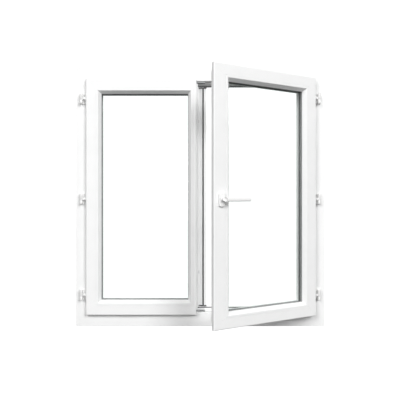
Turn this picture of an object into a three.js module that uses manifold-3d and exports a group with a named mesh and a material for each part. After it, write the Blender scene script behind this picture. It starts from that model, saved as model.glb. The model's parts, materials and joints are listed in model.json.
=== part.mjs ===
// A white two-leaf casement window that opens into the room.
// Millimetres, +Z up, +X to the right as seen from the room, the room on the -Y side.
// Everything is drawn with y = 0 on the frame's room-side face and z = 0 under the sill;
// the last group moves the origin to the middle of the frame's depth.
import * as THREE from "three";
import { mergeVertices } from "three/addons/utils/BufferGeometryUtils.js";
import Module from "manifold-3d";

const wasm = await Module();
wasm.setup();

// ---------- driving dimensions ----------
const windowWidth = 1200;
const windowHeight = 1250;
const frameDepth = 60;
const frameFace = 67; // width of the frame's room face
const frameLip = 85; // reach of the outer lip that the leaves close against
const lipRoomSide = 43; // depth of the lip's room-side face
const wall = 3; // wall of every plastic profile
const frontWeb = 12; // the two webs that part the frame's chambers
const backWeb = 41;

const sashRoomFace = -21; // room face of a closed leaf
const sashOutside = 40; // exterior face of a closed leaf
const sideOverlap = 14; // how far a leaf laps over a jamb's face
const endOverlap = 9; // how far it laps over the head and the sill
const sashWidth = 72; // from a leaf's outer edge to its sight line
const handleStileExtra = 12; // the stile with the handle is this much wider
const flangeWidth = 22;
const flangeBack = -4;
const beadStart = 48;
const beadProud = 1; // beads stand this far in front of the leaf's face
const beadSeat = -16; // the ledge that the beads clip on to
const beadToe = -4; // where a bead's slope ends, next to the glass
const beadFlat = 10.5; // width of a bead before its slope
const platform = 52; // the seat under the edge of the glass
const glassEdge = 56;
const glassOutside = 20; // the sealed unit is 4 + 12 + 4
const paneThickness = 4;
const gasketRoom = 3; // between the outer pane and the lip behind it
const spacerBand = [59, 68];
const grooveNear = 12; // hardware groove round the edge of a leaf
const grooveFar = 28;
const grooveDepth = 10;

const activeFreeEdge = -16.5; // flange edge of the leaf that opens first
const passiveFreeEdge = -19.5; // room face of the other leaf ends here
const passiveNose = 7.5; // its body stands this far past that edge
const passiveSightLine = -57.7;
const activeOpenAngle = 28.5; // degrees open as placed

const hingeAxisX = 570;
const hingeAxisY = -16;
const hingeHeights = { lower: 155, middle: 615, upper: 1097 };
const knuckleRadius = 6.5;
const hingePinRadius = 3;

const handleHeight = 612;
const handleBackset = 37; // from the leaf's free edge
const leverReach = 129.5;
const pinionTeeth = 12;
const gearModule = 1.35;
const gearY = [16, 24]; // depth of the pinion, the racks and the slide bolts
const boltTravel = 18;

const mitreGap = 0.2;
const gap = 0.3; // between pieces that touch
const loose = 0.4; // between pieces that clip or rub

const leafEdge = frameFace - sideOverlap; // from the window's outer edge
const leafBottom = frameFace - endOverlap;
const leafTop = windowHeight - leafBottom;
const handleX = activeFreeEdge + handleBackset;
const activeEdgeX = activeFreeEdge + flangeWidth; // closing edge of the active leaf's body
const passiveEdgeX = passiveFreeEdge + passiveNose;

// ---------- materials ----------
const plastic = { color: 0xf6f6f4, roughness: 0.32, metalness: 0 };
const rubber = { color: 0x8d8f90, roughness: 0.7, metalness: 0 };
const darkRubber = { color: 0x3c3d3e, roughness: 0.75, metalness: 0 };
const zincSteel = { color: 0xb9bcbd, roughness: 0.4, metalness: 0.9 };
const aluminium = { color: 0xc9cbcc, roughness: 0.35, metalness: 0.9 };
const glass = { color: 0xe9f3ef, roughness: 0.02, metalness: 0, transparent: true, opacity: 0.25 };
const enamel = { color: 0xf4f4f2, roughness: 0.28, metalness: 0.1 };

function named(name, geometry, look) {
  const mesh = new THREE.Mesh(geometry, new THREE.MeshStandardMaterial(look));
  mesh.name = name;
  return mesh;
}

// ---------- joining and cutting ----------
function toSolid(geometry) {
  const bare = geometry.clone();
  bare.deleteAttribute("normal");
  bare.deleteAttribute("uv");
  const merged = mergeVertices(bare, 1e-4);
  return new wasm.Manifold(
    new wasm.Mesh({
      numProp: 3,
      vertProperties: merged.attributes.position.array,
      triVerts: new Uint32Array(merged.index.array),
    }),
  );
}

function toGeometry(solid) {
  const mesh = solid.getMesh();
  const geometry = new THREE.BufferGeometry();
  geometry.setAttribute("position", new THREE.BufferAttribute(mesh.vertProperties, 3));
  geometry.setIndex(new THREE.BufferAttribute(mesh.triVerts, 1));
  geometry.computeVertexNormals();
  return geometry;
}

function cut(geometry, ...tools) {
  return toGeometry(tools.reduce((solid, tool) => solid.subtract(toSolid(tool)), toSolid(geometry)));
}

function join(...pieces) {
  return toGeometry(pieces.slice(1).reduce((solid, piece) => solid.add(toSolid(piece)), toSolid(pieces[0])));
}

function common(geometry, other) {
  return toGeometry(toSolid(geometry).intersect(toSolid(other)));
}

// ---------- shapes ----------
// A closed outline from [a, b] points; a third number rounds that corner by about that radius.
function outline(points, holes = []) {
  const shape = new THREE.Shape();
  const at = (i) => new THREE.Vector2(...points[(i + points.length) % points.length].slice(0, 2));
  points.forEach(([, , radius = 0], i) => {
    const corner = at(i);
    const before = at(i - 1).sub(corner).setLength(radius).add(corner);
    const after = at(i + 1).sub(corner).setLength(radius).add(corner);
    if (i === 0) shape.moveTo(before.x, before.y);
    else shape.lineTo(before.x, before.y);
    if (radius) shape.quadraticCurveTo(corner.x, corner.y, after.x, after.y);
  });
  shape.closePath();
  shape.holes.push(...holes.map((hole) => outline(hole)));
  return shape;
}

function rectangle(a0, b0, a1, b1, radius = 0) {
  return [[a0, b0, radius], [a1, b0, radius], [a1, b1, radius], [a0, b1, radius]];
}

function box(x0, y0, z0, x1, y1, z1) {
  const geometry = new THREE.BoxGeometry(x1 - x0, y1 - y0, z1 - z0);
  return geometry.translate((x0 + x1) / 2, (y0 + y1) / 2, (z0 + z1) / 2);
}

// An outline drawn in x and z, given a thickness from y0 to y1.
function plate(shape, y0, y1, curveSegments = 4) {
  const geometry = new THREE.ExtrudeGeometry(shape, { depth: y1 - y0, bevelEnabled: false, curveSegments });
  return geometry.rotateX(Math.PI / 2).translate(0, y1, 0);
}

// An outline drawn in x and y, given a height from z0 to z1.
function column(shape, z0, z1, curveSegments = 4) {
  const geometry = new THREE.ExtrudeGeometry(shape, { depth: z1 - z0, bevelEnabled: false, curveSegments });
  return geometry.translate(0, 0, z0);
}

function discAcrossY(x, z, radius, y0, y1, sides = 20) {
  const geometry = new THREE.CylinderGeometry(radius, radius, y1 - y0, sides);
  return geometry.translate(x, (y0 + y1) / 2, z);
}

function postAlongZ(x, y, radius, z0, z1, sides = 20) {
  const geometry = new THREE.CylinderGeometry(radius, radius, z1 - z0, sides);
  return geometry.rotateX(Math.PI / 2).translate(x, y, (z0 + z1) / 2);
}

function rodAlongX(y, z, radius, x0, x1, sides = 12) {
  const geometry = new THREE.CylinderGeometry(radius, radius, x1 - x0, sides);
  return geometry.rotateZ(Math.PI / 2).translate((x0 + x1) / 2, y, z);
}

// ---------- profiles round a rectangle ----------
// A ring is { x0, x1, z0, z1 }. A section is drawn as distance inward from the ring, then depth y.
const inward = {
  left: new THREE.Vector3(1, 0, 0),
  right: new THREE.Vector3(-1, 0, 0),
  bottom: new THREE.Vector3(0, 0, 1),
  top: new THREE.Vector3(0, 0, -1),
};

function sideBar(section, ring, side) {
  const width = ring.x1 - ring.x0;
  const height = ring.z1 - ring.z0;
  const length = side === "left" || side === "right" ? height : width;
  const across = new THREE.Vector3(0, 1, 0);
  const along = inward[side].clone().cross(across);
  const startX = side === "left" || side === "top" ? ring.x0 : ring.x1;
  const startZ = side === "left" || side === "bottom" ? ring.z0 : ring.z1;
  const placed = new THREE.Matrix4().makeBasis(inward[side], across, along).setPosition(startX, 0, startZ);
  const settings = { depth: length, bevelEnabled: false, curveSegments: 4 };
  return new THREE.ExtrudeGeometry(section, settings).applyMatrix4(placed);
}

// What one side keeps of a ring of bars mitred at 45 degrees, with a hairline at each mitre.
// Where the left bar is wider by extra, the mitres at its ends step sideways at the bead.
function mitrePlan(ring, side, reach, extra = 0) {
  const { x0, x1, z0, z1 } = ring;
  const g = mitreGap;
  const step = extra ? [beadStart, beadStart + extra] : [];
  const rise = extra ? [beadStart, beadStart] : [];
  const runs = [...step, reach + extra];
  const climbs = [...rise, reach];
  const leftJoint = (z, up) => runs.map((run, i) => [x0 + run, z + up * climbs[i]]);
  const backwards = (points) => [...points].reverse();
  const shifted = (points, dx, dz) => points.map(([x, z]) => [x + dx, z + dz]);
  const bottomJoint = leftJoint(z0, 1);
  const topJoint = leftJoint(z1, -1);
  const plans = {
    left: [[x0, z0 + g], [x0, z1 - g], ...shifted(topJoint, 0, -g), ...shifted(backwards(bottomJoint), 0, g)],
    right: [[x1, z0 + g], [x1, z1 - g], [x1 - reach, z1 - reach - g], [x1 - reach, z0 + reach + g]],
    bottom: [
      [x0 + g, z0], [x1 - g, z0], [x1 - reach - g, z0 + reach], ...shifted(backwards(bottomJoint), g, 0),
    ],
    top: [[x0 + g, z1], [x1 - g, z1], [x1 - reach - g, z1 - reach], ...shifted(backwards(topJoint), g, 0)],
  };
  return plans[side];
}

const planDepth = 200;

function trimmed(bar, plan) {
  return common(bar, plate(outline(plan), -planDepth, planDepth));
}

function mitredBar(section, ring, side, reach, extra = 0) {
  return trimmed(sideBar(section, ring, side), mitrePlan(ring, side, reach, extra));
}

function rectangularRing(ring, from, to, y0, y1) {
  const outer = rectangle(ring.x0 + from, ring.z0 + from, ring.x1 - from, ring.z1 - from);
  const inner = rectangle(ring.x0 + to, ring.z0 + to, ring.x1 - to, ring.z1 - to);
  return plate(outline(outer, [inner]), y0, y1);
}

const frameRing = { x0: -windowWidth / 2, x1: windowWidth / 2, z0: 0, z1: windowHeight };
const activeRing = { x0: activeFreeEdge, x1: windowWidth / 2 - leafEdge, z0: leafBottom, z1: leafTop };
// The passive leaf is drawn as if it had a full profile at its meeting edge too.
const passiveRing = {
  x0: leafEdge - windowWidth / 2,
  x1: passiveSightLine + sashWidth,
  z0: leafBottom,
  z1: leafTop,
};

// ---------- outer frame ----------
function frameSection() {
  const inner = frameFace - wall;
  const lipChamber = rectangle(frameFace, lipRoomSide + wall, frameLip - wall, frameDepth - wall);
  const chambers = [
    rectangle(wall, wall, inner, frontWeb),
    rectangle(wall, frontWeb + wall, inner, backWeb),
    rectangle(wall, backWeb + wall, inner, frameDepth - wall),
    lipChamber,
  ];
  const edge = [
    [0, 0, 1], [frameFace, 0, 2.5], [frameFace, lipRoomSide], [frameLip, lipRoomSide, 2],
    [frameLip, frameDepth, 3], [0, frameDepth, 1],
  ];
  return outline(edge, chambers);
}

const keepSlots = {
  rod: { x0: activeEdgeX + 1, x1: activeEdgeX + 8.5, y0: 13.5, y1: 26.5 },
  bolt: { x0: passiveEdgeX - 9, x1: passiveEdgeX + 1, y0: 14, y1: 26 },
};
const slotClearance = 0.5;
const keepThickness = 5.7;
const keepFoot = rectangle(-30, 10, 24, 31, 3);
const strikeDepth = 11;

function strikePockets(sign) {
  const floor = sign > 0 ? windowHeight - frameFace : frameFace;
  return Object.values(keepSlots).map(({ x0, x1, y0, y1 }) => {
    const ends = [floor - sign, floor + sign * strikeDepth].sort((a, b) => a - b);
    const c = slotClearance;
    return box(x0 - c, y0 - c, ends[0], x1 + c, y1 + c, ends[1]);
  });
}

function keepPlate(sign) {
  const floor = sign > 0 ? windowHeight - frameFace : frameFace;
  const near = floor - sign * gap;
  const far = near - sign * keepThickness;
  const [z0, z1] = [near, far].sort((a, b) => a - b);
  const slots = Object.values(keepSlots).map(({ x0, x1, y0, y1 }) => box(x0, y0, z0 - 1, x1, y1, z1 + 1));
  return cut(column(outline(keepFoot), z0, z1), ...slots);
}

// The rolled steel channels that stiffen the frame: a corner, the opposite corner, and how far
// each stops short of the frame's ends.
const channel = { near: [12, 18], far: [50, 39], shortfall: 75, thickness: 2 };

function steelChannel(ring, side) {
  const { near, far, shortfall, thickness: t } = channel;
  const section = outline([
    [near[0], near[1]], [far[0], near[1]], [far[0], near[1] + t], [near[0] + t, near[1] + t],
    [near[0] + t, far[1] - t], [far[0], far[1] - t], [far[0], far[1]], [near[0], far[1]],
  ]);
  const bar = sideBar(section, ring, side);
  const upright = side === "left" || side === "right";
  const keepX = upright ? 0 : shortfall;
  const keepZ = upright ? shortfall : 0;
  return common(bar, box(ring.x0 + keepX, 0, ring.z0 + keepZ, ring.x1 - keepX, 100, ring.z1 - keepZ));
}

const frameSealBand = [80, 84];

function buildFrame() {
  const group = new THREE.Group();
  const section = frameSection();
  const members = {
    frame_jamb_left: "left",
    frame_jamb_right: "right",
    frame_sill: "bottom",
    frame_head: "top",
  };
  for (const [name, side] of Object.entries(members)) {
    let bar = mitredBar(section, frameRing, side, frameLip);
    if (side === "top") bar = cut(bar, ...strikePockets(1));
    if (side === "bottom") bar = cut(bar, ...strikePockets(-1));
    group.add(named(name, bar, plastic));
  }
  const steels = {
    steel_jamb_left: "left",
    steel_jamb_right: "right",
    steel_sill: "bottom",
    steel_head: "top",
  };
  for (const [name, side] of Object.entries(steels)) {
    group.add(named(name, steelChannel(frameRing, side), zincSteel));
  }
  const seal = rectangularRing(frameRing, ...frameSealBand, sashOutside + loose, lipRoomSide - gap);
  group.add(named("frame_seal", seal, rubber));
  group.add(named("head_keep", keepPlate(1), zincSteel));
  group.add(named("sill_keep", keepPlate(-1), zincSteel));
  return group;
}

// ---------- leaves ----------
function sashSection(extra = 0) {
  const start = beadStart + extra;
  const seat = platform + extra;
  const tip = sashWidth + extra;
  const lipFace = glassOutside + gasketRoom;
  const chambers = [
    rectangle(wall + 1, sashRoomFace + wall, start - wall, flangeBack - wall),
    rectangle(grooveDepth + flangeWidth + wall, flangeBack + 1, seat - wall, glassOutside),
    rectangle(flangeWidth + wall, grooveFar + wall, seat - wall, sashOutside - wall),
    rectangle(seat, lipFace + wall, tip - wall, sashOutside - wall),
  ];
  const edge = [
    [0, sashRoomFace, 6], [start, sashRoomFace, 1], [start, beadSeat], [seat, beadSeat],
    [seat, lipFace], [tip, lipFace, 2], [tip, sashOutside, 4], [flangeWidth, sashOutside, 3],
    [flangeWidth, grooveFar], [flangeWidth + grooveDepth, grooveFar],
    [flangeWidth + grooveDepth, grooveNear], [flangeWidth, grooveNear], [flangeWidth, flangeBack],
    [0, flangeBack, 1],
  ];
  return outline(edge, chambers);
}

// The passive leaf's meeting stile: its flange is cut back so that the active leaf can lap over it.
const nose = { back: -0.5, chamber: -12 };

function meetingSection() {
  const faceEdge = passiveRing.x1 - passiveFreeEdge;
  const bodySide = faceEdge - passiveNose;
  const lipFace = glassOutside + gasketRoom;
  const chambers = [
    rectangle(bodySide + grooveDepth + wall, nose.chamber, platform - wall, glassOutside),
    rectangle(bodySide + wall, grooveFar + wall, platform - wall, sashOutside - wall),
    rectangle(platform, lipFace + wall, sashWidth - wall, sashOutside - wall),
  ];
  const edge = [
    [faceEdge, sashRoomFace, 4], [beadStart, sashRoomFace, 1], [beadStart, beadSeat], [platform, beadSeat],
    [platform, lipFace], [sashWidth, lipFace, 2], [sashWidth, sashOutside, 4],
    [bodySide, sashOutside, 1], [bodySide, grooveFar], [bodySide + grooveDepth, grooveFar],
    [bodySide + grooveDepth, grooveNear], [bodySide, grooveNear], [bodySide, nose.back, 1.5],
    [faceEdge, nose.back],
  ];
  return outline(edge, chambers);
}

function beadSection() {
  const face = sashRoomFace - beadProud;
  const tip = sashWidth - loose;
  return outline([
    [beadStart + gap, face, 1.2], [beadStart + beadFlat, face, 2], [tip, beadToe, 1.5], [tip, -loose],
    [platform + gap, -loose], [platform + gap, beadSeat - gap], [beadStart + gap, beadSeat - gap],
  ]);
}

function addBeads(group, prefix, ring) {
  const beadRing = {
    x0: ring.x0 + beadStart,
    x1: ring.x1 - beadStart,
    z0: ring.z0 + beadStart,
    z1: ring.z1 - beadStart,
  };
  for (const side of Object.keys(inward)) {
    const bar = sideBar(beadSection(), ring, side);
    const plan = mitrePlan(beadRing, side, sashWidth - beadStart);
    group.add(named(`${prefix}_bead_${side}`, trimmed(bar, plan), plastic));
  }
}

function addGlazing(group, prefix, ring) {
  const edge = glassEdge;
  const pane = outline(rectangle(ring.x0 + edge, ring.z0 + edge, ring.x1 - edge, ring.z1 - edge));
  group.add(named(`${prefix}_pane_inner`, plate(pane, 0, paneThickness), glass));
  group.add(named(`${prefix}_pane_outer`, plate(pane, glassOutside - paneThickness, glassOutside), glass));
  const between = [paneThickness + gap, glassOutside - paneThickness - gap];
  group.add(named(`${prefix}_spacer`, rectangularRing(ring, ...spacerBand, ...between), aluminium));
}

// Holes for the two studs of each hinge, drilled into the edge of a leaf's hinge stile.
const studRadius = 2.5;
const studDrop = [-5.5, 5.5];
const studY = -12.5;

function studHoles(edgeX, sign) {
  const ends = [edgeX + sign * 2, edgeX - sign * 24].sort((a, b) => a - b);
  return Object.values(hingeHeights).flatMap((height) =>
    studDrop.map((drop) => rodAlongX(studY, height + drop, studRadius + gap, ...ends)),
  );
}

const sealFrom = 3; // the seal on the back of a leaf's flange
const sealTo = 9;
const sealFace = -0.4;
const sealFaceActive = -0.9;

function buildPassiveLeaf() {
  const group = new THREE.Group();
  const ring = passiveRing;
  const section = sashSection();
  const g = mitreGap;
  const stepIn = ring.x1 - passiveFreeEdge;
  const stileX = passiveFreeEdge + gap;
  const sight = { x: passiveSightLine, z0: ring.z0 + sashWidth, z1: ring.z1 - sashWidth };
  const hingeStile = mitredBar(section, ring, "left", sashWidth);
  group.add(named("left_stile_hinge", cut(hingeStile, ...studHoles(ring.x0, -1)), plastic));
  const topPlan = [
    [ring.x0 + g, ring.z1], [passiveFreeEdge, ring.z1], [passiveFreeEdge, ring.z1 - stepIn + g],
    [sight.x, sight.z1 + g], [ring.x0 + sashWidth + g, sight.z1],
  ];
  const bottomPlan = [
    [ring.x0 + g, ring.z0], [passiveFreeEdge, ring.z0], [passiveFreeEdge, ring.z0 + stepIn - g],
    [sight.x, sight.z0 - g], [ring.x0 + sashWidth + g, sight.z0],
  ];
  group.add(named("left_rail_top", trimmed(sideBar(section, ring, "top"), topPlan), plastic));
  group.add(named("left_rail_bottom", trimmed(sideBar(section, ring, "bottom"), bottomPlan), plastic));
  const stilePlan = [
    [sight.x, sight.z0 + g], [stileX, ring.z0 + stepIn + g - gap], [stileX, ring.z0 + flangeWidth],
    [passiveEdgeX + 1, ring.z0 + flangeWidth], [passiveEdgeX + 1, ring.z1 - flangeWidth],
    [stileX, ring.z1 - flangeWidth], [stileX, ring.z1 - stepIn - g + gap], [sight.x, sight.z1 - g],
  ];
  group.add(named("left_stile_meeting", trimmed(sideBar(meetingSection(), ring, "right"), stilePlan), plastic));
  addBeads(group, "left", ring);
  addGlazing(group, "left", ring);
  const sealEnd = passiveFreeEdge - 1;
  const seal = outline([
    [ring.x0 + sealFrom, ring.z0 + sealFrom], [sealEnd, ring.z0 + sealFrom], [sealEnd, ring.z0 + sealTo],
    [ring.x0 + sealTo, ring.z0 + sealTo], [ring.x0 + sealTo, ring.z1 - sealTo], [sealEnd, ring.z1 - sealTo],
    [sealEnd, ring.z1 - sealFrom], [ring.x0 + sealFrom, ring.z1 - sealFrom],
  ]);
  group.add(named("left_seal", plate(seal, flangeBack + gap, sealFace), rubber));
  addMullion(group);
  return group;
}

// The floating mullion, screwed to the passive leaf's meeting stile, which the active leaf closes on.
const mullionBottom = frameLip + 3;
const mullionTop = windowHeight - frameLip - 3;
const mullionLip = { x0: -32, x1: 31, room: 44, outside: 57 };
const mullionWeb = 4;
const capHeight = 5;

function mullionOutline() {
  const base = passiveEdgeX + gap;
  const { x0, x1, room, outside } = mullionLip;
  const back = sashOutside + gap;
  const grooveFloor = room + 4;
  return [
    [base, 2, 0.8], [base + mullionWeb, 2, 0.8], [base + mullionWeb, room - 2], [base + 7, room - 0.5],
    [base + 7, grooveFloor], [base + 13, grooveFloor], [base + 13, room], [base + 22, room, 1],
    [base + 22, grooveFloor], [base + 30, grooveFloor], [base + 30, room], [x1, room, 1.5],
    [x1, outside, 3], [x0, outside, 3], [x0, back, 1.5], [base, back],
  ];
}

function addMullion(group) {
  const ends = [mullionBottom + capHeight + gap, mullionTop - capHeight - gap];
  const whole = column(outline(mullionOutline()), ...ends);
  const base = passiveEdgeX + gap;
  const [y0, y1] = [thumbNeckY[0] - 1, thumbNeckY[1] + 1];
  const x1 = base + mullionWeb + 1;
  const slots = Object.values(boltThumbs).map(({ z0, z1 }) => box(base - 1, y0, z0, x1, y1, z1));
  group.add(named("floating_mullion", cut(whole, ...slots), plastic));
  const cap = outline(mullionOutline());
  group.add(named("mullion_cap_top", column(cap, mullionTop - capHeight, mullionTop), darkRubber));
  group.add(named("mullion_cap_bottom", column(cap, mullionBottom, mullionBottom + capHeight), darkRubber));
}

// ---------- slide bolts of the passive leaf ----------
const boltTipTop = leafTop - flangeWidth - 2;
const boltTipBottom = leafBottom + flangeWidth + 2;
const boltLength = 190;
const boltThickness = 5.4;
const boltInset = 1.2; // behind the edge of the passive leaf's body
const thumbHeight = 14;
const thumbNeckY = [17.4, 22.6];
const topThumb = boltTipTop - boltLength + 6;
const bottomThumb = boltTipBottom + boltLength - 6 - thumbHeight;
const boltThumbs = {
  top: { z0: topThumb - 1, z1: topThumb + thumbHeight + boltTravel + 1 },
  bottom: { z0: bottomThumb - boltTravel - 1, z1: bottomThumb + thumbHeight + 1 },
};

function slideBolt(z0, z1, thumbStart) {
  const side = passiveEdgeX - boltInset;
  const bar = column(outline(rectangle(side - boltThickness, gearY[0], side, gearY[1], 1)), z0, z1);
  const knobX = passiveEdgeX + gap + mullionWeb + gap;
  const neckZ = [thumbStart + 3, thumbStart + thumbHeight - 3];
  const neck = box(side - 1, thumbNeckY[0], neckZ[0], knobX + gap, thumbNeckY[1], neckZ[1]);
  const knob = rectangle(knobX, 15.5, knobX + 2, 24.5, 0.6);
  return join(bar, neck, column(outline(knob), thumbStart, thumbStart + thumbHeight));
}

// ---------- hinges ----------
const hingeReach = 25.2; // half the height of the two knuckles together
const hingeSplit = 7; // they part this far below the middle
const knuckleGap = 1.2; // half the space between them

function knuckle(x, height0, height1) {
  return postAlongZ(x, hingeAxisY, knuckleRadius, height0, height1, 24);
}

// The half on the frame: a wing on the frame's face, the lower knuckle and the pin.
function hingeFrameHalf(sign, height) {
  const x = sign * hingeAxisX;
  const split = height - hingeSplit;
  const [wingX0, wingX1] = [x + sign * 11, x - sign * 13].sort((a, b) => a - b);
  const wing = outline(rectangle(wingX0, height - 27, wingX1, height + 27, 2.5));
  const lower = [height - hingeReach, split - knuckleGap];
  const neck = box(x - 4.5, hingeAxisY, lower[0], x + 4.5, -1, lower[1]);
  const pin = postAlongZ(x, hingeAxisY, hingePinRadius, split - 10, height + hingeReach - 3, 16);
  const collar = postAlongZ(x, hingeAxisY, knuckleRadius - 0.8, split - 1.5, split + knuckleGap - gap, 20);
  return join(knuckle(x, ...lower), plate(wing, -3 - gap, -gap), neck, pin, collar);
}

// The half on the leaf: the upper knuckle, an arm at mid-height, a foot on the leaf's edge, two studs.
function hingeSashHalf(sign, height) {
  const x = sign * hingeAxisX;
  const edge = sign * (windowWidth / 2 - leafEdge) + sign * gap;
  const between = (a, b) => [Math.min(a, b), Math.max(a, b)];
  const [armX0, armX1] = between(x, edge);
  const arm = box(armX0, -15, height - 5, armX1, -10, height + 5);
  const [footX0, footX1] = between(edge, edge + sign * 2.5);
  const foot = box(footX0, -18.5, height - 9, footX1, -6, height + 9);
  const [studX0, studX1] = between(edge + sign * 0.5, edge - sign * 22);
  const studs = studDrop.map((drop) => rodAlongX(studY, height + drop, studRadius, studX0, studX1));
  const upper = [height - hingeSplit + knuckleGap, height + hingeReach];
  const body = join(knuckle(x, ...upper), arm, foot, ...studs);
  const bore = postAlongZ(x, hingeAxisY, hingePinRadius + gap, upper[0] - 1, upper[1] - 2.5, 16);
  return cut(body, bore);
}

function hingeHalves(prefix, sign, half) {
  return Object.entries(hingeHeights).map(([place, height]) => {
    const make = half === "frame" ? hingeFrameHalf : hingeSashHalf;
    return named(`${prefix}_hinge_${place}_${half}`, make(sign, height), enamel);
  });
}

// ---------- espagnolette of the active leaf ----------
const caseHalf = 58;
const casePocket = { x0: activeEdgeX - 1, x1: activeEdgeX + 31, y0: 12.2, y1: 27.8 };
const faceplateEnds = [120, 1130];
const rodY = [15, 25];
const pitchRadius = gearModule * pinionTeeth / 2;
const toothPitch = Math.PI * gearModule;
const addendum = 1;
const dedendum = 1.3;
const toothHalf = { tip: 0.6, pitch: 0.95, root: 1.25 };
const rodTipTop = windowHeight - frameFace - gap - keepThickness - 2; // 2 mm short of the keep
const rodTipBottom = frameFace + gap + keepThickness + 2;

function pinionGeometry() {
  const points = [];
  const at = (radius, angle) => [radius * Math.cos(angle), radius * Math.sin(angle)];
  for (let i = 0; i < pinionTeeth; i += 1) {
    const middle = (i / pinionTeeth) * 2 * Math.PI;
    const corners = [
      [pitchRadius - dedendum, -toothHalf.root], [pitchRadius, -toothHalf.pitch],
      [pitchRadius + addendum, -toothHalf.tip], [pitchRadius + addendum, toothHalf.tip],
      [pitchRadius, toothHalf.pitch], [pitchRadius - dedendum, toothHalf.root],
    ];
    points.push(...corners.map(([radius, half]) => at(radius, middle + half / radius)));
  }
  const side = spindleHalf + gap;
  const wheel = outline(points, [rectangle(-side, -side, side, side)]);
  return plate(wheel, ...gearY).translate(handleX, 0, handleHeight);
}

// One straight rack along z. facing is +1 when its teeth point to +x.
function rackOutline(pitchX, facing, thickness, from, to) {
  const rootX = pitchX - facing * dedendum;
  const points = [[rootX - facing * thickness, from], [rootX, from]];
  for (let z = (Math.ceil(from / toothPitch) + 0.5) * toothPitch; z + toothPitch / 2 < to; z += toothPitch) {
    points.push([rootX, z - toothHalf.root], [pitchX, z - toothHalf.pitch]);
    const tipX = pitchX + facing * addendum;
    points.push([tipX, z - toothHalf.tip], [tipX, z + toothHalf.tip]);
    points.push([pitchX, z + toothHalf.pitch], [rootX, z + toothHalf.root]);
  }
  points.push([rootX, to], [rootX - facing * thickness, to]);
  return outline(points.map(([x, z]) => [x, z + handleHeight]));
}

// How far each rack reaches below and above the handle's axis.
const topRack = [-22, 9];
const bottomRack = [-32, 23];
const rodThickness = 2;
const rodX = [handleX - pitchRadius - dedendum - rodThickness, handleX - pitchRadius - dedendum];

function topRod() {
  const rack = plate(rackOutline(handleX - pitchRadius, 1, rodThickness, ...topRack), ...gearY);
  const bar = box(rodX[0], rodY[0], handleHeight + topRack[1] - 1, rodX[1], rodY[1], rodTipTop);
  return join(rack, bar);
}

function bottomRod() {
  const farX = handleX + pitchRadius + dedendum + rodThickness;
  const rack = plate(rackOutline(handleX + pitchRadius, -1, rodThickness, ...bottomRack), ...gearY);
  const bridgeTop = handleHeight + bottomRack[0] + 1;
  const bridge = box(rodX[0], gearY[0], bridgeTop - 6, farX, gearY[1], bridgeTop);
  const bar = box(rodX[0], rodY[0], rodTipBottom, rodX[1], rodY[1], bridgeTop);
  return join(rack, bridge, bar);
}

function gearCase() {
  const open = rodX[0] + 0.4;
  const back = casePocket.x1 - gap;
  const [y0, y1] = [casePocket.y0 + gap, casePocket.y1 - gap];
  const [z0, z1] = [handleHeight - caseHalf, handleHeight + caseHalf];
  const shell = box(open, y0, z0, back, y1, z1);
  const hollow = box(open - 1, y0 + 1.8, z0 + 2, back - 1.8, y1 - 1.8, z1 - 2);
  const exits = box(open - 1, y0 + 1.8, z0 - 1, rodX[1] + 1.2, y1 - 1.8, z1 + 1);
  const spindleHole = discAcrossY(handleX, handleHeight, spindleHalf * 1.6, y0 - 1, y1 + 1);
  return cut(shell, hollow, exits, spindleHole);
}

// ---------- handle ----------
const spindleHalf = 3.5;
const rosette = { half: 15, up: 31, thick: 9.5 };
const rosetteFace = sashRoomFace - gap - rosette.thick;
const gripY = [-60, -49];

function rosetteGeometry() {
  const { half, up } = rosette;
  const [x, z] = [handleX, handleHeight];
  const shape = outline(rectangle(x - half, z - up, x + half, z + up, 9));
  const cover = plate(shape, rosetteFace, sashRoomFace - gap, 5);
  return cut(cover, discAcrossY(x, z, 10.3, rosetteFace - 1, sashRoomFace, 28));
}

function leverGeometry() {
  const [x, z] = [handleX, handleHeight];
  const collar = discAcrossY(x, z, 9.8, rosetteFace - 2, sashRoomFace - 1.5, 28);
  const neck = discAcrossY(x, z, 8, gripY[0] + 3, rosetteFace, 28);
  const grip = outline([
    [x - 10, z - 9.8, 9], [x + leverReach, z - 8.4, 7], [x + leverReach, z + 8.4, 7], [x - 10, z + 9.8, 9],
  ]);
  const side = spindleHalf;
  const spindle = box(x - side, sashRoomFace - 3, z - side, x + side, gearY[1] + 2, z + side);
  return join(collar, neck, plate(grip, ...gripY, 6), spindle);
}

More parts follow.
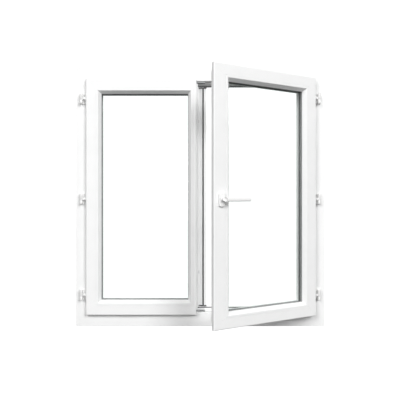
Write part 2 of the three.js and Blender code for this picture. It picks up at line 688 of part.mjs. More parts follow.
function buildActiveLeaf() {
  const group = new THREE.Group();
  const ring = activeRing;
  const glazed = { ...ring, x0: ring.x0 + handleStileExtra };
  const sides = { stile_hinge: "right", stile_meeting: "left", rail_top: "top", rail_bottom: "bottom" };
  for (const [name, side] of Object.entries(sides)) {
    const section = sashSection(side === "left" ? handleStileExtra : 0);
    let bar = mitredBar(section, ring, side, sashWidth, handleStileExtra);
    if (side === "right") bar = cut(bar, ...studHoles(ring.x1, 1));
    if (side === "left") {
      const { x0, x1, y0, y1 } = casePocket;
      const pocket = box(x0, y0, handleHeight - caseHalf - 0.5, x1, y1, handleHeight + caseHalf + 0.5);
      bar = cut(bar, pocket, discAcrossY(handleX, handleHeight, 6, sashRoomFace - 1, y0 + 1));
    }
    group.add(named(`right_${name}`, bar, plastic));
  }
  addBeads(group, "right", glazed);
  addGlazing(group, "right", glazed);
  const seal = rectangularRing(ring, sealFrom, sealTo, flangeBack + gap, sealFaceActive);
  group.add(named("right_seal", seal, rubber));
  group.add(named("gearbox_case", gearCase(), zincSteel));
  const faceX = [activeEdgeX + 0.2, rodX[0] - gap];
  const [z0, z1] = faceplateEnds;
  const faceplate = box(faceX[0], grooveNear + gap, z0, faceX[1], grooveFar - gap, z1);
  group.add(named("espagnolette_faceplate", faceplate, zincSteel));
  group.add(named("handle_rosette", rosetteGeometry(), enamel));
  group.add(...hingeHalves("right", 1, "sash"));
  group.add(named("rod_top", topRod(), zincSteel));
  group.add(named("rod_bottom", bottomRod(), zincSteel));
  group.add(named("drive_pinion", pinionGeometry(), zincSteel));
  group.add(named("handle_lever", leverGeometry(), enamel));
  return group;
}

// ---------- the whole window ----------
function buildWindow() {
  const frame = buildFrame();
  frame.add(...hingeHalves("left", -1, "frame"), ...hingeHalves("right", 1, "frame"));
  const passive = buildPassiveLeaf();
  passive.add(...hingeHalves("left", -1, "sash"));
  const topBolt = slideBolt(boltTipTop - boltLength, boltTipTop, topThumb);
  const bottomBolt = slideBolt(boltTipBottom, boltTipBottom + boltLength, bottomThumb);
  passive.add(named("bolt_top", topBolt, zincSteel), named("bolt_bottom", bottomBolt, zincSteel));
  const active = buildActiveLeaf();
  active.position.set(-hingeAxisX, -hingeAxisY, 0);
  const swing = new THREE.Group();
  swing.position.set(hingeAxisX, hingeAxisY, 0);
  swing.rotation.z = THREE.MathUtils.degToRad(activeOpenAngle);
  swing.add(active);
  const casement = new THREE.Group();
  casement.add(frame, passive, swing);
  casement.position.y = -frameDepth / 2;
  const root = new THREE.Group();
  root.add(casement);
  return root;
}

export default buildWindow();
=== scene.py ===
import json
import math

import bmesh
import bpy
from mathutils import Matrix, Vector


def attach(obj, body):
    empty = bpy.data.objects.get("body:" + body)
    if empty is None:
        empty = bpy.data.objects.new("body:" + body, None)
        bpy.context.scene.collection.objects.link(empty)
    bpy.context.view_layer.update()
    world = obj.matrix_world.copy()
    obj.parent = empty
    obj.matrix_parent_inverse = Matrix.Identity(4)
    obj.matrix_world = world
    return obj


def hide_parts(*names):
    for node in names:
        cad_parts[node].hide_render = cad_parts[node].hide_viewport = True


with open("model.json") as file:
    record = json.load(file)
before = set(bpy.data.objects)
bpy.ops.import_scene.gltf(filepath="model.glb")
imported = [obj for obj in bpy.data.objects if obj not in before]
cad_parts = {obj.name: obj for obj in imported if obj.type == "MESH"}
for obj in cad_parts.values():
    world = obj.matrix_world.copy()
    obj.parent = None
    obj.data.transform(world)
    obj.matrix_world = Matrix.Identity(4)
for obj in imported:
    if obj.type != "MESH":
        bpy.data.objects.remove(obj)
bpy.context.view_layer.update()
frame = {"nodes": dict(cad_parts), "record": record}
nodes = frame["nodes"]
MM = 0.001

# ------------------------------------------------------------------ materials


def new_material(name):
    mat = bpy.data.materials.new(name)
    mat.use_nodes = True
    tree = mat.node_tree
    tree.nodes.clear()
    output = tree.nodes.new("ShaderNodeOutputMaterial")
    shader = tree.nodes.new("ShaderNodeBsdfPrincipled")
    tree.links.new(shader.outputs[0], output.inputs[0])
    return mat, tree, shader


def coordinates(tree, turned=0.0, scale=(1, 1, 1)):
    """Object coordinates, turned back about z so that x runs along a leaf, then stretched."""
    source = tree.nodes.new("ShaderNodeTexCoord")
    turn = tree.nodes.new("ShaderNodeMapping")
    turn.inputs["Rotation"].default_value = (0, 0, -math.radians(turned))
    stretch = tree.nodes.new("ShaderNodeMapping")
    stretch.inputs["Scale"].default_value = scale
    tree.links.new(source.outputs["Object"], turn.inputs[0])
    tree.links.new(turn.outputs[0], stretch.inputs[0])
    return stretch.outputs[0]


def noise(tree, vector, scale, detail=2.0):
    node = tree.nodes.new("ShaderNodeTexNoise")
    node.inputs["Scale"].default_value = scale
    node.inputs["Detail"].default_value = detail
    tree.links.new(vector, node.inputs["Vector"])
    return node.outputs["Fac"]


def spread(tree, value, low, high, from_low=0.3, from_high=0.7):
    """Stretch a value, by default the middle of a noise, to run from low to high."""
    node = tree.nodes.new("ShaderNodeMapRange")
    node.inputs["From Min"].default_value = from_low
    node.inputs["From Max"].default_value = from_high
    node.inputs["To Min"].default_value = low
    node.inputs["To Max"].default_value = high
    tree.links.new(value, node.inputs["Value"])
    return node.outputs[0]


def between(tree, value, dark, light):
    """A colour between two, mixed by a value."""
    node = tree.nodes.new("ShaderNodeMix")
    node.data_type = "RGBA"
    node.inputs["A"].default_value = (*dark, 1)
    node.inputs["B"].default_value = (*light, 1)
    tree.links.new(value, node.inputs["Factor"])
    return node.outputs["Result"]


def bump(tree, shader, *layers):
    """Each layer is (height output, distance in metres)."""
    normal = None
    for height, distance in layers:
        node = tree.nodes.new("ShaderNodeBump")
        node.inputs["Strength"].default_value = 1.0
        node.inputs["Distance"].default_value = distance
        tree.links.new(height, node.inputs["Height"])
        if normal:
            tree.links.new(normal, node.inputs["Normal"])
        normal = node.outputs[0]
    tree.links.new(normal, shader.inputs["Normal"])


def upvc(name, along, turned=0.0):
    """Extruded white plastic: die lines along the member, faint clouding, satin gloss."""
    mat, tree, shader = new_material(name)
    stretch = {"x": (0.02, 1, 1), "z": (1, 1, 0.02)}[along]
    lines = noise(tree, coordinates(tree, turned, stretch), 900, 1)
    clouds = noise(tree, coordinates(tree, turned), 14, 3)
    grain = noise(tree, coordinates(tree, turned), 2600, 1)
    tint = between(tree, spread(tree, clouds, 0, 1), (0.905, 0.908, 0.905), (0.93, 0.932, 0.93))
    tree.links.new(tint, shader.inputs["Base Color"])
    tree.links.new(spread(tree, lines, 0.3, 0.42), shader.inputs["Roughness"])
    bump(tree, shader, (lines, 0.00001), (grain, 0.000006))
    return mat


def powder_white(name):
    """White powder coat with a fine orange-peel surface."""
    mat, tree, shader = new_material(name)
    peel = noise(tree, coordinates(tree), 700, 2)
    clouds = noise(tree, coordinates(tree), 60)
    tint = between(tree, spread(tree, clouds, 0, 1), (0.9, 0.9, 0.895), (0.93, 0.93, 0.925))
    tree.links.new(tint, shader.inputs["Base Color"])
    tree.links.new(spread(tree, peel, 0.26, 0.36), shader.inputs["Roughness"])
    bump(tree, shader, (peel, 0.00002))
    return mat


def zinc(name, along, dark=(0.5, 0.51, 0.52), light=(0.66, 0.665, 0.66), metallic=1.0):
    """Plated or rolled metal with drawing lines along the member."""
    mat, tree, shader = new_material(name)
    stretch = {"x": (0.03, 1, 1), "z": (1, 1, 0.03)}[along]
    lines = noise(tree, coordinates(tree, 0, stretch), 1400, 2)
    tint = between(tree, spread(tree, noise(tree, coordinates(tree), 40, 4), 0, 1), dark, light)
    tree.links.new(tint, shader.inputs["Base Color"])
    shader.inputs["Metallic"].default_value = metallic
    tree.links.new(spread(tree, lines, 0.28, 0.42), shader.inputs["Roughness"])
    bump(tree, shader, (lines, 0.00001))
    return mat


def rubber(name, dark, light):
    """Matt rubber or plastic with a fine grain."""
    mat, tree, shader = new_material(name)
    grain = noise(tree, coordinates(tree), 1600, 3)
    tint = between(tree, spread(tree, noise(tree, coordinates(tree), 90, 3), 0, 1), dark, light)
    tree.links.new(tint, shader.inputs["Base Color"])
    tree.links.new(spread(tree, grain, 0.5, 0.68), shader.inputs["Roughness"])
    bump(tree, shader, (grain, 0.00002))
    return mat


def clear_glass(name):
    """Float glass: see-through, faintly green, mirror-like only towards grazing.

    The facing weight is the same from inside and outside, so nothing is trapped between the faces.
    """
    mat, tree, shader = new_material(name)
    tree.nodes.remove(shader)
    output = next(n for n in tree.nodes if n.type == "OUTPUT_MATERIAL")
    clear = tree.nodes.new("ShaderNodeBsdfTransparent")
    mirror = tree.nodes.new("ShaderNodeBsdfGlossy")
    mix = tree.nodes.new("ShaderNodeMixShader")
    weight = tree.nodes.new("ShaderNodeLayerWeight")
    weight.inputs["Blend"].default_value = 0.5  # facing then rises from 0 head-on to 1 at grazing
    steep = tree.nodes.new("ShaderNodeMath")
    steep.operation = "POWER"
    steep.inputs[1].default_value = 4.0
    tree.links.new(weight.outputs["Facing"], steep.inputs[0])
    clouds = noise(tree, coordinates(tree), 3, 2)
    tree.links.new(between(tree, clouds, (0.985, 0.995, 0.99), (0.99, 1.0, 0.995)), clear.inputs["Color"])
    tree.links.new(spread(tree, clouds, 0.0, 0.03), mirror.inputs["Roughness"])
    tree.links.new(spread(tree, steep.outputs[0], 0.02, 0.5, 0, 1), mix.inputs[0])
    tree.links.new(clear.outputs[0], mix.inputs[1])
    tree.links.new(mirror.outputs[0], mix.inputs[2])
    tree.links.new(mix.outputs[0], output.inputs[0])
    return mat


OPEN = 28.5  # how far the right leaf stands open, in degrees
look = {
    "upright": upvc("upvc_upright", "z"),
    "level": upvc("upvc_level", "x"),
    "leaf_upright": upvc("upvc_leaf_upright", "z", OPEN),
    "leaf_level": upvc("upvc_leaf_level", "x", OPEN),
    "hardware": powder_white("powder_coat_white"),
    "zinc": zinc("zinc_upright", "z"),
    "zinc_level": zinc("zinc_level", "x"),
    "spacer": zinc("spacer_aluminium", "z", (0.6, 0.61, 0.615), (0.7, 0.705, 0.71), 0.8),
    "seal": rubber("seal_grey", (0.1, 0.102, 0.105), (0.14, 0.142, 0.145)),
    "gasket": rubber("gasket_grey", (0.3, 0.303, 0.306), (0.37, 0.373, 0.376)),
    "dark": rubber("cap_dark", (0.03, 0.03, 0.032), (0.045, 0.045, 0.048)),
    "glass": clear_glass("float_glass"),
}


def node_look(name, slot):
    level = any(word in name for word in ("rail", "head", "sill", "bead_top", "bead_bottom"))
    if slot == "upvc_white":
        kind = "level" if level else "upright"
        return look["leaf_" + kind if name.startswith("right_") else kind]
    table = {
        "hardware_white": "hardware",
        "zinc_steel": "zinc_level" if level else "zinc",
        "spacer_bar": "spacer",
        "seal_grey": "seal",
        "cap_dark": "dark",
        "glass": "glass",
    }
    return look[table[slot]]


slots = {part["node"]: part["material_slot"] for part in frame["record"]["subparts"]}
for name, node in nodes.items():
    node.data.materials.clear()
    node.data.materials.append(node_look(name, slots[name]))
    if slots[name] == "glass":
        node.visible_shadow = False
    if slots[name] == "upvc_white":
        soften = node.modifiers.new("edges", "BEVEL")
        soften.width = 0.0004
        soften.segments = 2
        soften.limit_method = "ANGLE"
        soften.angle_limit = math.radians(40)

# ------------------------------------------------------------------ making pieces

# Pieces are drawn in millimetres with y = 0 on the frame's room face, the right leaf as if closed.
MERGE_DISTANCE = 0.0005
POINT_RADIUS = 0.001  # stands for a point where a turned shape closes on its axis
DEPTH = 60
HINGE = (570, -16)  # the right leaf's axis in x and y; the left leaf's is its mirror image
ROW = Matrix.Diagonal((MM, MM, MM, 1)) @ Matrix.Translation((0, -DEPTH / 2, 0))
TO_AXIS = Matrix.Translation((*HINGE, 0))
FROM_AXIS = Matrix.Translation((-HINGE[0], -HINGE[1], 0))
LEAF = ROW @ (TO_AXIS @ Matrix.Rotation(math.radians(OPEN), 4, "Z") @ FROM_AXIS)

# Rectangles as (left, right, foot, top).
SASH_FOOT, SASH_TOP = 58, 1192
SASH_WIDTH = 72  # the visible width of a leaf's profile
SIGHT_FOOT, SIGHT_TOP = SASH_FOOT + SASH_WIDTH, SASH_TOP - SASH_WIDTH
HANDLE_STILE_EXTRA = 12
FRAME = (-600, 600, 0, 1250)
ACTIVE = (-16.5, 547, SASH_FOOT, SASH_TOP)
PASSIVE = (-547, 14.3, SASH_FOOT, SASH_TOP)
ACTIVE_SIGHT = (ACTIVE[0] + SASH_WIDTH + HANDLE_STILE_EXTRA, ACTIVE[1] - SASH_WIDTH, SIGHT_FOOT, SIGHT_TOP)
PASSIVE_SIGHT = (PASSIVE[0] + SASH_WIDTH, -57.7, SIGHT_FOOT, SIGHT_TOP)


def put(name, bm, body, kind, leaf=False, replaces=(), sharp=35):
    """Turn a bmesh into a piece that rides on a body."""
    bmesh.ops.remove_doubles(bm, verts=bm.verts, dist=MERGE_DISTANCE)
    bmesh.ops.recalc_face_normals(bm, faces=bm.faces)
    bmesh.ops.transform(bm, matrix=LEAF if leaf else ROW, verts=bm.verts)
    mesh = bpy.data.meshes.new(name)
    bm.to_mesh(mesh)
    bm.free()
    mesh.shade_smooth()
    mesh.set_sharp_from_angle(angle=math.radians(sharp))
    mesh.materials.append(look[kind])
    piece = bpy.data.objects.new(name, mesh)
    bpy.context.scene.collection.objects.link(piece)
    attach(piece, body)
    if replaces:
        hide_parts(*replaces)


def skin(bm, rings, loop=False):
    """Join rings of points, each with the same count, by quads, and cap the ends unless they meet."""
    layers = [[bm.verts.new(point) for point in ring] for ring in rings]
    count = len(layers[0])
    pairs = list(zip(layers, layers[1:]))
    if loop:
        pairs.append((layers[-1], layers[0]))
    for first, second in pairs:
        for i in range(count):
            j = (i + 1) % count
            bm.faces.new((first[i], first[j], second[j], second[i]))
    if not loop:
        bm.faces.new(layers[0])
        bm.faces.new(layers[-1])


def sweep_ring(bm, ring, profile):
    """A profile of (distance inward, depth) points carried round a rectangle with mitred corners."""
    x0, x1, z0, z1 = ring
    corners = [
        [(x0 + t, y, z0 + t) for t, y in profile],
        [(x1 - t, y, z0 + t) for t, y in profile],
        [(x1 - t, y, z1 - t) for t, y in profile],
        [(x0 + t, y, z1 - t) for t, y in profile],
    ]
    skin(bm, corners, loop=True)


def sweep_three_sides(bm, ring, end_x, profile):
    """The same round the foot, the left side and the top, with open ends at end_x."""
    x0, _, z0, z1 = ring
    corners = [
        [(end_x, y, z0 + t) for t, y in profile],
        [(x0 + t, y, z0 + t) for t, y in profile],
        [(x0 + t, y, z1 - t) for t, y in profile],
        [(end_x, y, z1 - t) for t, y in profile],
    ]
    skin(bm, corners)


def strip_up(bm, outline, z0, z1):
    """An outline in x and y given a height."""
    skin(bm, [[(x, y, z) for x, y in outline] for z in (z0, z1)])


def block(bm, low, high, edge=0.6, steps=2):
    """A box with rounded edges."""
    middle = (Vector(low) + Vector(high)) / 2
    size = Vector(high) - Vector(low)
    placed = Matrix.Translation(middle) @ Matrix.Diagonal((*size, 1))
    made = bmesh.ops.create_cube(bm, size=1, matrix=placed)
    edges = {line for vert in made["verts"] for line in vert.link_edges}
    bmesh.ops.bevel(bm, geom=list(edges), offset=edge, segments=steps, profile=0.5, affect="EDGES")


# Each turns a shape drawn along z to lie along the named axis.
AXES = {
    "x": Matrix(((0, 0, 1), (1, 0, 0), (0, 1, 0))).to_4x4(),
    "y": Matrix(((1, 0, 0), (0, 0, 1), (0, 1, 0))).to_4x4(),
    "z": Matrix.Identity(4),
}


def full_turn(count):
    """Angles evenly round a full turn."""
    return [2 * math.pi * i / count for i in range(count)]


def lathe(bm, place, axis, profile, sides=32):
    """A (radius, height) profile turned about an axis through a point."""
    placed = Matrix.Translation(place) @ AXES[axis]
    angles = full_turn(sides)
    rings = []
    for radius, height in profile:
        r = max(radius, POINT_RADIUS)
        rings.append([placed @ Vector((r * math.cos(a), r * math.sin(a), height)) for a in angles])
    skin(bm, rings)


def screw(bm, place, axis, out, radius):
    """A raised head with a cross recess. out is +1 or -1 along the axis."""
    rim, dome, recess = 0.25, 0.95, 0.75
    slot_half, slot_reach = radius * 0.17, 0.62
    placed = Matrix.Translation(place) @ AXES[axis]
    rings = []
    for part in (1.0, 1.0, 0.9, 0.72, 0.6, 0.45, 0.3, 0.15, 0.001):
        rise = dome * math.sqrt(max(0.0, 1 - part * part))
        ring = []
        for a in full_turn(32):
            r = radius * part
            u, v = r * math.cos(a), r * math.sin(a)
            in_cross = min(abs(u), abs(v)) < slot_half and part < slot_reach
            height = 0 if not rings else rim + rise - (recess if in_cross else 0)
            ring.append(placed @ Vector((u, v, out * height)))
        rings.append(ring)
    skin(bm, rings)


# ------------------------------------------------------------------ seals and gaskets


def add_seals():
    """The lip seal round the frame and the one behind each leaf's flange."""
    frame_lip = [
        (80, 42.7), (84, 42.7), (84, 42.1), (83, 41.8),
        (83.7, 40.9), (83.1, 40.45), (81.2, 41.1), (80, 42),
    ]
    bm = bmesh.new()
    sweep_ring(bm, FRAME, frame_lip)
    put("frame_seal_lip", bm, "frame", "seal", replaces=["frame_seal"])

    def flange_lip(face):
        return [
            (3.2, -3.7), (8.8, -3.7), (8.8, -3), (6.6, -2.6),
            (8.2, face - 0.5), (7.4, face), (4.4, face - 1), (3.2, -2.8),
        ]

    bm = bmesh.new()
    sweep_three_sides(bm, PASSIVE, -20.5, flange_lip(-0.4))
    put("left_seal_lip", bm, "left_leaf", "seal", replaces=["left_seal"])
    bm = bmesh.new()
    sweep_ring(bm, ACTIVE, flange_lip(-0.9))
    put("right_seal_lip", bm, "right_leaf", "seal", leaf=True, replaces=["right_seal"])


def add_gaskets():
    """The wedge gasket between each bead and the glass, and the flat one behind the outer pane."""
    inner = [(-0.3, -3.1), (0.3, -2.9), (1.5, -1.1), (1.6, -0.15), (-0.3, -0.15)]
    outer = [(-8, 20.2), (1, 20.2), (1.5, 20.8), (0.5, 22.7), (-8, 22.7)]
    for side, ring, is_leaf in (("left", PASSIVE_SIGHT, False), ("right", ACTIVE_SIGHT, True)):
        for place, profile in (("inner", inner), ("outer", outer)):
            bm = bmesh.new()
            sweep_ring(bm, ring, profile)
            put(f"{side}_gasket_{place}", bm, f"{side}_leaf", "gasket", leaf=is_leaf)


def add_mullion_seal():
    """The bulb seal in the mullion's groove, which the right leaf closes on."""
    bulb = [
        (11, 47.7), (17.6, 47.7), (17.6, 44.6), (16.4, 43.9), (17, 42.2), (16, 40.9),
        (14.2, 40.5), (12.4, 40.9), (11.6, 42.2), (12.2, 43.9), (11, 44.6),
    ]
    bm = bmesh.new()
    strip_up(bm, bulb, 94, 1156)
    put("mullion_seal", bm, "left_leaf", "seal")


# ------------------------------------------------------------------ hinges

HINGE_HEIGHTS = {"lower": 155, "middle": 615, "upper": 1097}
LEAF_EDGE = 547.3
KNUCKLE_RADIUS = 6.5
KNUCKLE_REACH = 25.2  # from the hinge's middle to either end
GROOVE_RADIUS = 6.05
PIN_RADIUS = 3


def hinge_frame_half(sign, h):
    """Plate, lower knuckle and pin. sign is -1 for the left jamb, h the height of the hinge's middle."""
    x, y = sign * HINGE[0], HINGE[1]
    bm = bmesh.new()
    wing = sorted((x + sign * 11, x - sign * 13))
    block(bm, (wing[0], -3.3, h - 27), (wing[1], -0.3, h + 27), 1.1, 3)
    block(bm, (x - 4.4, y, h - 25), (x + 4.4, -1, h - 8.4), 0.7)
    barrel = [
        (0, -KNUCKLE_REACH), (4.6, -KNUCKLE_REACH), (5.9, -24.8), (KNUCKLE_RADIUS, -23.7),
        (KNUCKLE_RADIUS, -20.5), (GROOVE_RADIUS, -20.2), (GROOVE_RADIUS, -19.4), (KNUCKLE_RADIUS, -19.1),
        (KNUCKLE_RADIUS, -9), (6.1, -8.3), (5.7, -8.2), (5.7, -6.1),
        (PIN_RADIUS, -6.1), (PIN_RADIUS, 21), (2.2, 22.2), (0, 22.2),
    ]
    lathe(bm, (x, y, h), "z", barrel)
    for dx in (-8.6, 8.6):
        for dz in (-20.5, 20.5):
            screw(bm, ((wing[0] + wing[1]) / 2 + dx, -3.2, h + dz), "y", -1, 2.3)
    return bm


def hinge_leaf_half(sign, h):
    """Upper knuckle, arm, foot and the two studs that go into the leaf."""
    x, y = sign * HINGE[0], HINGE[1]
    edge = sign * LEAF_EDGE
    bm = bmesh.new()
    arm = sorted((x, edge))
    block(bm, (arm[0], -15, h - 5), (arm[1], -10, h + 5), 1.2, 3)
    foot = sorted((edge, edge + sign * 2.5))
    block(bm, (foot[0], -18.4, h - 9), (foot[1], -6.1, h + 9), 0.7)
    bore = PIN_RADIUS + 0.35
    barrel = [
        (0, 22.6), (bore, 22.6), (bore, -5.8), (6.1, -5.75),
        (KNUCKLE_RADIUS, -5.1), (KNUCKLE_RADIUS, 19.1), (GROOVE_RADIUS, 19.4), (GROOVE_RADIUS, 20.2),
        (KNUCKLE_RADIUS, 20.5), (KNUCKLE_RADIUS, 23.7), (5.9, 24.8), (4.6, KNUCKLE_REACH), (0, KNUCKLE_REACH),
    ]
    lathe(bm, (x, y, h), "z", barrel)
    start, end = sorted((edge + sign * 0.5, edge - sign * 22))
    stud = [(0, 0), (2.4, 0.3), (2.4, end - start - 1), (0, end - start)]
    for drop in (-5.5, 5.5):
        lathe(bm, (start, -12.5, h + drop), "x", stud, 20)
    return bm


def add_hinges():
    for side, sign in (("left", -1), ("right", 1)):
        for place, h in HINGE_HEIGHTS.items():
            node = f"{side}_hinge_{place}"
            put(
                f"{node}_fixed_half", hinge_frame_half(sign, h), "frame", "hardware",
                replaces=[f"{node}_frame"],
            )
            put(
                f"{node}_leaf_half", hinge_leaf_half(sign, h), f"{side}_leaf", "hardware",
                leaf=side == "right", replaces=[f"{node}_sash"],
            )


# ------------------------------------------------------------------ handle

HANDLE = (20.5, 612)
ROSETTE_HALF = (15, 31)
ROSETTE_SIDES = 64
GRIP_LINE = -54.5  # the grip's middle, in y
GRIP_END = 129.4  # from the spindle to the tip


def rounded_outline(inset):
    """Points round the rosette, a rectangle with rounded corners, spaced by angle."""
    points = []
    half_x, half_z = ROSETTE_HALF[0] - inset, ROSETTE_HALF[1] - inset
    power = 4.2
    for a in full_turn(ROSETTE_SIDES):
        across, up = math.cos(a), math.sin(a)
        reach = (abs(across / half_x) ** power + abs(up / half_z) ** power) ** (-1 / power)
        points.append((reach * across, reach * up))
    return points


def add_rosette():
    """A cover plate with a rolled edge and a round hole for the lever's neck."""
    x, z = HANDLE
    bm = bmesh.new()
    steps = [(0, -21.3), (0, -28.4), (0.35, -29.5), (1.1, -30.3), (2.4, -30.75)]
    rings = [[(x + u, y, z + v) for u, v in rounded_outline(inset)] for inset, y in steps]
    for radius, y in ((11.2, -30.8), (10.5, -30.5), (10.2, -29.8), (10.2, -21.3)):
        angles = full_turn(ROSETTE_SIDES)
        rings.append([(x + radius * math.cos(a), y, z + radius * math.sin(a)) for a in angles])
    skin(bm, rings, loop=True)
    put(
        "handle_rosette_cover", bm, "right_leaf", "hardware",
        leaf=True, replaces=["handle_rosette"], sharp=50,
    )


def lever_rings():
    """Centre, direction angle, half height and half thickness along the lever."""
    x = HANDLE[0]
    bend = 9.2
    for y, r in ((-30.5, 8), (-36, 7.7), (-41, 7.7)):
        yield (x, y), 0, r, r
    for step in range(9):
        a = math.pi / 2 * step / 8
        part = step / 8
        centre = (x + bend - bend * math.cos(a), GRIP_LINE + bend - bend * math.sin(a))
        yield centre, a, 7.7 + 1.9 * part, 7.7 - 2.3 * part
    start, end = x + bend, x + GRIP_END
    for part in (0.12, 0.3, 0.5, 0.7, 0.85, 0.93):
        yield (start + (end - start) * part, GRIP_LINE), math.pi / 2, 9.6 - 1.3 * part, 5.4 - 0.3 * part
    for back, scale in ((4.5, 0.96), (2.4, 0.83), (1.0, 0.62), (0.25, 0.34), (0, 0.05)):
        yield (end - back, GRIP_LINE), math.pi / 2, 8.3 * scale, 5.1 * scale


def add_lever():
    """The neck, bend and grip as one oval section, with a collar and the square spindle behind."""
    middle, z = HANDLE
    bm = bmesh.new()
    rings = []
    for (x, y), a, high, thick in lever_rings():
        power = 2.2 + 0.4 * a / (math.pi / 2)
        ring = []
        for t in full_turn(48):
            across, along = math.cos(t), math.sin(t)
            reach = (abs(across) ** power + abs(along) ** power) ** (-1 / power)
            side, up = thick * reach * across, high * reach * along
            ring.append((x + side * math.cos(a), y - side * math.sin(a), z + up))
        rings.append(ring)
    skin(bm, rings)
    collar = [(0, -32.8), (8.8, -32.8), (9.5, -32.4), (9.8, -31.6), (9.8, -23), (0, -23)]
    lathe(bm, (middle, 0, z), "y", collar, 40)
    spindle = 3.5
    block(bm, (middle - spindle, -24, z - spindle), (middle + spindle, 26, z + spindle), 0.3)
    put(
        "handle_lever_grip", bm, "handle", "hardware",
        leaf=True, replaces=["handle_lever"], sharp=40,
    )


# ------------------------------------------------------------------ small hardware


FACEPLATE_SCREW_HEIGHTS = (140, 330, 540, 684, 900, 1110)
HEAD_KEEP_FACE, SILL_KEEP_FACE = 1177, 73


def add_screws():
    """The screws of the faceplate on the leaf's edge and of the keeps in the head and the sill."""
    bm = bmesh.new()
    for z in FACEPLATE_SCREW_HEIGHTS:
        screw(bm, (5.7, 20, z), "x", -1, 2.7)
    put("faceplate_screws", bm, "right_leaf", "zinc", leaf=True)
    bm = bmesh.new()
    for x in (-26, 20.5):
        screw(bm, (x, 20.5, HEAD_KEEP_FACE), "z", -1, 2.2)
        screw(bm, (x, 20.5, SILL_KEEP_FACE), "z", 1, 2.2)
    put("keep_screws", bm, "frame", "zinc_level")


def seam(bm, start, end, y0, y1, width=0.24):
    """A fine weld line set just under the surface, filling the hairline of a mitre."""
    a, b = Vector((start[0], 0, start[1])), Vector((end[0], 0, end[1]))
    side = (b - a).normalized().cross(Vector((0, 1, 0))) * width / 2
    rings = []
    for y in (y0, y1):
        up = Vector((0, y, 0))
        rings.append([a + side + up, b + side + up, b - side + up, a - side + up])
    skin(bm, rings)


def corner_seams(bm, ring, reach, y0, y1, right_side=True, extra=0):
    """The weld at each mitre. extra carries the left ones on level, where that member is wider."""
    x0, x1, z0, z1 = ring
    for z, up in ((z0, 1), (z1, -1)):
        seam(bm, (x0 + 0.5, z + up * 0.5), (x0 + reach, z + up * reach), y0, y1)
        if right_side:
            seam(bm, (x1 - 0.5, z + up * 0.5), (x1 - reach, z + up * reach), y0, y1)
        if extra:
            level = z + up * (reach + 0.1)
            seam(bm, (x0 + reach, level), (x0 + reach + extra, level), y0, y1, 0.16)


SASH_WELD = (-20.7, -18.4)  # the depths of the weld line at a leaf's room face


def add_welds():
    """Weld lines on both faces of the frame and the room face of each leaf."""
    bm = bmesh.new()
    corner_seams(bm, FRAME, 64, 0.3, 2.6)
    corner_seams(bm, FRAME, 82, DEPTH - 2.6, DEPTH - 0.3)
    put("frame_welds", bm, "frame", "upright")
    bm = bmesh.new()
    corner_seams(bm, PASSIVE, 46, *SASH_WELD, right_side=False)
    put("left_leaf_welds", bm, "left_leaf", "upright")
    bm = bmesh.new()
    corner_seams(bm, ACTIVE, 47, *SASH_WELD, extra=HANDLE_STILE_EXTRA)
    put("right_leaf_welds", bm, "right_leaf", "leaf_upright", leaf=True)


add_seals()
add_gaskets()
add_mullion_seal()
add_hinges()
add_rosette()
add_lever()
add_screws()
add_welds()

# ------------------------------------------------------------------ stage, light, camera


WHITE = (1, 1, 1, 1)
BACKDROP_STRENGTH = 1.25
FILL_STRENGTH = 0.16
FLOOR_BOUNCE = 0.12
FLOOR_REACH = 12
LIGHT_AIM = (0, 0, 0.6)


def white_to_the_camera(tree, output, glow, weak):
    """Show a bright white to the camera and let light meet only the weak shader."""
    seen = tree.nodes.new(glow)
    seen.inputs["Color"].default_value = WHITE
    seen.inputs["Strength"].default_value = BACKDROP_STRENGTH
    path = tree.nodes.new("ShaderNodeLightPath")
    mix = tree.nodes.new("ShaderNodeMixShader")
    tree.links.new(path.outputs["Is Camera Ray"], mix.inputs[0])
    tree.links.new(weak.outputs[0], mix.inputs[1])
    tree.links.new(seen.outputs[0], mix.inputs[2])
    tree.links.new(mix.outputs[0], output.inputs[0])


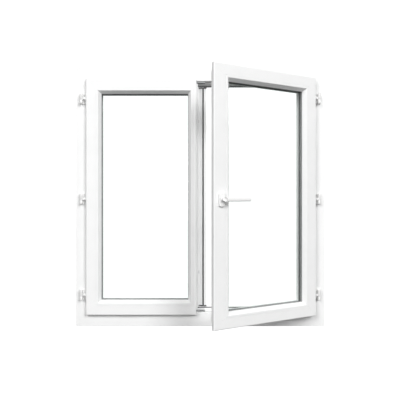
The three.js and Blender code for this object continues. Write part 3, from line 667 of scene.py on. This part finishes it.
def stage_material():
    """Plain white to look at, but only a weak bounce of light from below."""
    mat = bpy.data.materials.new("studio_floor")
    mat.use_nodes = True
    tree = mat.node_tree
    tree.nodes.clear()
    output = tree.nodes.new("ShaderNodeOutputMaterial")
    bounce = tree.nodes.new("ShaderNodeBsdfDiffuse")
    bounce.inputs["Color"].default_value = (FLOOR_BOUNCE, FLOOR_BOUNCE, FLOOR_BOUNCE, 1)
    white_to_the_camera(tree, output, "ShaderNodeEmission", bounce)
    return mat


def make_floor():
    mesh = bpy.data.meshes.new("floor")
    r, level = FLOOR_REACH, -2 * MM
    mesh.from_pydata([(-r, -r, level), (r, -r, level), (r, r, level), (-r, r, level)], [], [(0, 1, 2, 3)])
    floor = bpy.data.objects.new("floor", mesh)
    bpy.context.scene.collection.objects.link(floor)
    floor.data.materials.append(stage_material())


def make_world():
    world = bpy.data.worlds.new("studio")
    bpy.context.scene.world = world
    world.use_nodes = True
    tree = world.node_tree
    tree.nodes.clear()
    output = tree.nodes.new("ShaderNodeOutputWorld")
    fill = tree.nodes.new("ShaderNodeBackground")
    fill.inputs["Color"].default_value = WHITE
    fill.inputs["Strength"].default_value = FILL_STRENGTH
    white_to_the_camera(tree, output, "ShaderNodeBackground", fill)


def make_light(name, place, width, height, power):
    """A soft rectangle of light, in metres and watts, turned towards the window's middle."""
    light = bpy.data.lights.new(name, "AREA")
    light.shape = "RECTANGLE"
    light.size = width
    light.size_y = height
    light.energy = power
    holder = bpy.data.objects.new(name, light)
    holder.location = place
    holder.rotation_euler = (Vector(LIGHT_AIM) - Vector(place)).to_track_quat("-Z", "Y").to_euler()
    bpy.context.scene.collection.objects.link(holder)


def make_camera():
    data = bpy.data.cameras.new("camera")
    data.sensor_width = 36
    data.lens = 42.93
    data.clip_start = 0.01
    camera = bpy.data.objects.new("camera", data)
    camera.location = (-0.001, -2.331, 0.6095)
    camera.rotation_euler = (math.radians(90), 0, 0)
    bpy.context.scene.collection.objects.link(camera)
    bpy.context.scene.camera = camera


make_floor()
make_world()
make_light("key_left", (-10, -14.5, 10.3), 8, 8, 1920)
make_light("key_right", (10, -14.5, 10.3), 8, 8, 2640)
make_light("front", (0, -12, 0.8), 4, 3, 225)
make_light("back_left", (-8, 13, 7), 7, 7, 1100)
make_light("back_right", (8, 13, 7), 7, 7, 1100)
make_camera()
bpy.context.scene.view_settings.view_transform = "Standard"

bpy.context.view_layer.update()
